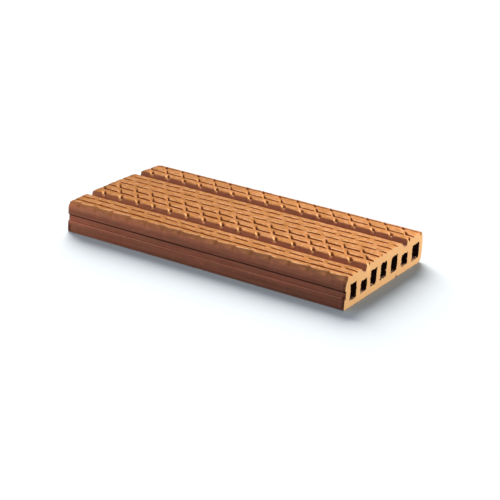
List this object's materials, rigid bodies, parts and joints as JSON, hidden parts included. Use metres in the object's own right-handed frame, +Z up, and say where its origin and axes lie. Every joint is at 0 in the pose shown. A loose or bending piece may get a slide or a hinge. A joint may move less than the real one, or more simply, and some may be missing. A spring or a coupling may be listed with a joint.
{
  "type": "hollow clay floor slab",
  "caption": "Flat extruded slab of fired clay with through cells, a scored top with two deep grooves, a seat along one side and a rounded nose along the other.",
  "frame": {"origin": "middle of the bottom bearing face", "axes": "+X along the slab and its cells, +Y across it towards the rounded nose, +Z up out of the scored top"},
  "size_m": [0.5, 0.25, 0.0535],
  "materials": {
    "fired_clay": "unglazed, matt, with fine drag lines"
  },
  "bodies": {
    "root": {"clay_slab": "fired_clay"}
  },
  "joints": []
}
